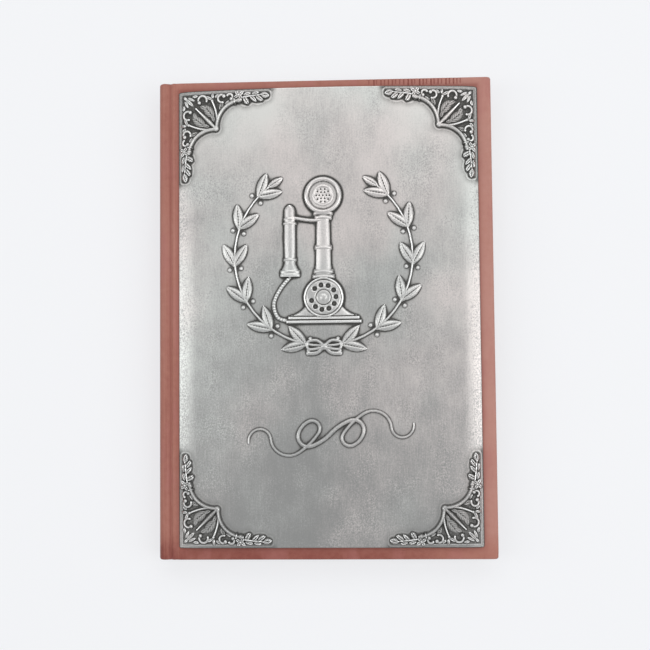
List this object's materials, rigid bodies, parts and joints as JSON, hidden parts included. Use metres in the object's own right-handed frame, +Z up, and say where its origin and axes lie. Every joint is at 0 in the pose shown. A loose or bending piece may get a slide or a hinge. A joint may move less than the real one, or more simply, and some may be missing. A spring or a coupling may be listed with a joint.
{
  "type": "telephone address book",
  "caption": "Hardback telephone address book with a stepped thumb index and an embossed metal plate with cast corner ornaments on its front cover.",
  "frame": {"origin": "middle of the closed book's footprint, at the height of the surface it lies on", "axes": "+X towards the fore edge, the spine on -X; +Y towards the head; +Z up, out of the front cover"},
  "size_m": [0.151, 0.216, 0.021],
  "materials": {
    "leather": "satin",
    "pewter": "satin",
    "board": "matte",
    "paper": "matte",
    "endpaper": "matte",
    "binding_cloth": "matte",
    "band_thread": "matte"
  },
  "bodies": {
    "book_block": {"spine_card": "board", "spine_cloth": "leather", "sewn_back": "paper", "spine_lining": "binding_cloth", "head_band": "band_thread", "tail_band": "band_thread", "front_joint_cloth": "leather", "back_joint_cloth": "leather"},
    "front_cover": {"front_board": "board", "front_cloth": "leather", "front_pastedown": "endpaper", "pewter_plate": "pewter", "corner_head_spine": "pewter", "corner_head_fore": "pewter", "corner_tail_spine": "pewter", "corner_tail_fore": "pewter"},
    "back_cover": {"back_board": "board", "back_cloth": "leather", "back_pastedown": "endpaper"},
    "front_flyleaf": {"front_flyleaf": "endpaper"},
    "section_ab": {"section_ab": "paper"},
    "section_cd": {"section_cd": "paper"},
    "section_ef": {"section_ef": "paper"},
    "section_gh": {"section_gh": "paper"},
    "section_ij": {"section_ij": "paper"},
    "section_kl": {"section_kl": "paper"},
    "section_mn": {"section_mn": "paper"},
    "section_op": {"section_op": "paper"},
    "section_qr": {"section_qr": "paper"},
    "section_st": {"section_st": "paper"},
    "section_uv": {"section_uv": "paper"},
    "section_wz": {"section_wz": "paper"},
    "back_flyleaf": {"back_flyleaf": "endpaper"}
  },
  "joints": [
    {"name": "front_cover_hinge", "type": "hinge", "parent": "book_block", "child": "front_cover", "pos_m": [-0.07265, 0, 0.01425], "axis": [0, -1, 0], "range_deg": [0, 179.9], "deforming": ["front_joint_cloth"]},
    {"name": "back_cover_hinge", "type": "hinge", "parent": "book_block", "child": "back_cover", "pos_m": [-0.07265, 0, 0.00305], "axis": [0, 1, 0], "range_deg": [0, 179.9], "deforming": ["back_joint_cloth"]},
    {"name": "front_flyleaf_turn", "type": "hinge", "parent": "book_block", "child": "front_flyleaf", "pos_m": [-0.07265, 0, 0.01425], "axis": [0, -1, 0], "range_deg": [0, 174.5]},
    {"name": "section_ab_turn", "type": "hinge", "parent": "book_block", "child": "section_ab", "pos_m": [-0.07265, 0, 0.01425], "axis": [0, -1, 0], "range_deg": [0, 169.11]},
    {"name": "section_cd_turn", "type": "hinge", "parent": "book_block", "child": "section_cd", "pos_m": [-0.07265, 0, 0.01425], "axis": [0, -1, 0], "range_deg": [0, 161.91]},
    {"name": "section_ef_turn", "type": "hinge", "parent": "book_block", "child": "section_ef", "pos_m": [-0.07265, 0, 0.01425], "axis": [0, -1, 0], "range_deg": [0, 149.32]},
    {"name": "section_gh_turn", "type": "hinge", "parent": "book_block", "child": "section_gh", "pos_m": [-0.07265, 0, 0.01425], "axis": [0, -1, 0], "range_deg": [0, 133.13]},
    {"name": "section_ij_turn", "type": "hinge", "parent": "book_block", "child": "section_ij", "pos_m": [-0.07265, 0, 0.01425], "axis": [0, -1, 0], "range_deg": [0, 113.34]},
    {"name": "section_kl_turn", "type": "hinge", "parent": "book_block", "child": "section_kl", "pos_m": [-0.07265, 0, 0.01425], "axis": [0, -1, 0], "range_deg": [0, 91.75]},
    {"name": "section_mn_turn", "type": "hinge", "parent": "book_block", "child": "section_mn", "pos_m": [-0.07265, 0, 0.01425], "axis": [0, -1, 0], "range_deg": [0, 70.16]},
    {"name": "section_op_turn", "type": "hinge", "parent": "book_block", "child": "section_op", "pos_m": [-0.07265, 0, 0.01425], "axis": [0, -1, 0], "range_deg": [0, 50.37]},
    {"name": "section_qr_turn", "type": "hinge", "parent": "book_block", "child": "section_qr", "pos_m": [-0.07265, 0, 0.01425], "axis": [0, -1, 0], "range_deg": [0, 34.18]},
    {"name": "section_st_turn", "type": "hinge", "parent": "book_block", "child": "section_st", "pos_m": [-0.07265, 0, 0.01425], "axis": [0, -1, 0], "range_deg": [0, 21.59]},
    {"name": "section_uv_turn", "type": "hinge", "parent": "book_block", "child": "section_uv", "pos_m": [-0.07265, 0, 0.01425], "axis": [0, -1, 0], "range_deg": [0, 12.59]},
    {"name": "section_wz_turn", "type": "hinge", "parent": "book_block", "child": "section_wz", "pos_m": [-0.07265, 0, 0.01425], "axis": [0, -1, 0], "range_deg": [0, 5.4]},
    {"name": "back_flyleaf_turn", "type": "hinge", "parent": "book_block", "child": "back_flyleaf", "pos_m": [-0.07265, 0, 0.00305], "axis": [0, 1, 0], "range_deg": [0, 161.91]}
  ],
  "couplings": [
    {"joint": "front_flyleaf_turn", "follows": "front_cover_hinge", "ratio": 0.97},
    {"joint": "section_ab_turn", "follows": "front_cover_hinge", "ratio": 0.94},
    {"joint": "section_cd_turn", "follows": "front_cover_hinge", "ratio": 0.9},
    {"joint": "section_ef_turn", "follows": "front_cover_hinge", "ratio": 0.83},
    {"joint": "section_gh_turn", "follows": "front_cover_hinge", "ratio": 0.74},
    {"joint": "section_ij_turn", "follows": "front_cover_hinge", "ratio": 0.63},
    {"joint": "section_kl_turn", "follows": "front_cover_hinge", "ratio": 0.51},
    {"joint": "section_mn_turn", "follows": "front_cover_hinge", "ratio": 0.39},
    {"joint": "section_op_turn", "follows": "front_cover_hinge", "ratio": 0.28},
    {"joint": "section_qr_turn", "follows": "front_cover_hinge", "ratio": 0.19},
    {"joint": "section_st_turn", "follows": "front_cover_hinge", "ratio": 0.12},
    {"joint": "section_uv_turn", "follows": "front_cover_hinge", "ratio": 0.07},
    {"joint": "section_wz_turn", "follows": "front_cover_hinge", "ratio": 0.03},
    {"joint": "back_flyleaf_turn", "follows": "back_cover_hinge", "ratio": 0.9}
  ]
}
